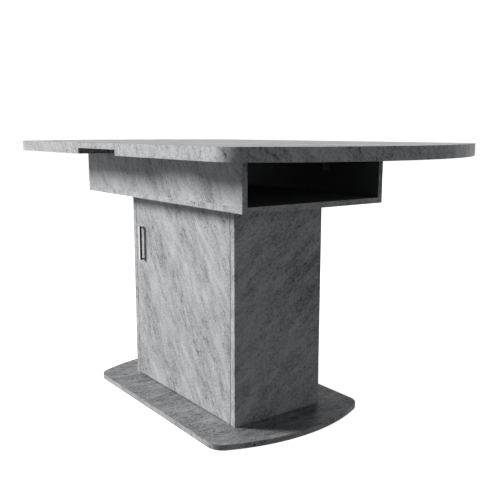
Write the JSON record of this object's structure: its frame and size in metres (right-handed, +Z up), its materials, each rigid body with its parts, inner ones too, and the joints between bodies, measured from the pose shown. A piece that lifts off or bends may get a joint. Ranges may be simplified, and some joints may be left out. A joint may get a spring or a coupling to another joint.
{
  "type": "extending pedestal dining table",
  "caption": "Extending dining table on a cabinet pedestal: bowed-end top in two leaves with a lift-out insert leaf, open box below, hinged cabinet door and flat bowed base.",
  "frame": {"origin": "on the floor, under the middle of the table", "axes": "+X along the extending length of the top, -Y is the cabinet door's side, +Z up"},
  "size_m": [1.4438, 0.785, 0.76],
  "materials": {
    "concrete_melamine": "melamine-faced chipboard with a light grey concrete decor, matt",
    "edge_band": "ABS edge band in the same concrete decor, matt",
    "hardwood": "plain beech",
    "zinc_steel": "zinc-plated",
    "runner_metal": "black anodised",
    "handle_chrome": "satin chrome",
    "black_nylon": "moulded black nylon"
  },
  "bodies": {
    "pedestal": {"base_plate": "concrete_melamine", "base_edge_band": "edge_band", "base_glides": "black_nylon", "base_screws": "zinc_steel", "column_left_panel": "concrete_melamine", "column_right_panel": "concrete_melamine", "column_back_panel": "concrete_melamine", "cabinet_bottom": "concrete_melamine", "cabinet_top": "concrete_melamine", "cabinet_shelf": "concrete_melamine", "shelf_pins": "zinc_steel", "column_dowels": "hardwood", "box_mount_screws": "zinc_steel", "hinge_lower": "zinc_steel", "hinge_upper": "zinc_steel", "hinge_screws": "zinc_steel", "magnet_catch": "black_nylon", "catch_screws": "zinc_steel", "box_floor": "concrete_melamine", "box_front_panel": "concrete_melamine", "box_back_panel": "concrete_melamine", "box_floor_screws": "zinc_steel", "runner_guides": "black_nylon", "guide_screws": "zinc_steel"},
    "left_leaf": {"left_leaf_board": "concrete_melamine", "left_leaf_doublers": "concrete_melamine", "left_leaf_edge_band": "edge_band", "left_leaf_packers": "hardwood", "left_runner_front": "runner_metal", "left_runner_back": "runner_metal", "left_runner_screws": "zinc_steel", "left_runner_stops": "runner_metal", "left_stop_screws": "zinc_steel"},
    "right_leaf": {"right_leaf_board": "concrete_melamine", "right_leaf_doublers": "concrete_melamine", "right_leaf_edge_band": "edge_band", "right_leaf_packers": "hardwood", "right_runner_front": "runner_metal", "right_runner_back": "runner_metal", "right_runner_screws": "zinc_steel", "right_runner_stops": "runner_metal", "right_stop_screws": "zinc_steel"},
    "insert": {"insert_board": "concrete_melamine", "insert_edge_band": "edge_band", "insert_cleats": "hardwood", "insert_screws": "zinc_steel"},
    "door": {"door_panel": "concrete_melamine", "door_edge_band": "edge_band", "door_bushes": "black_nylon", "door_handle": "handle_chrome", "handle_screws": "zinc_steel", "strike_plate": "zinc_steel"}
  },
  "joints": [
    {"name": "left_leaf_slide", "type": "slide", "parent": "pedestal", "child": "left_leaf", "axis": [-1, 0, 0], "range_m": [0, 0.03]},
    {"name": "right_leaf_slide", "type": "slide", "parent": "pedestal", "child": "right_leaf", "axis": [1, 0, 0], "range_m": [0, 0.03]},
    {"name": "insert_lift", "type": "slide", "parent": "pedestal", "child": "insert", "axis": [0, 0, 1], "range_m": [0, 0.25]},
    {"name": "door_hinge", "type": "hinge", "parent": "pedestal", "child": "door", "pos_m": [0.237, -0.1405, 0.31], "axis": [0, 0, 1], "range_deg": [0, 105]}
  ]
}
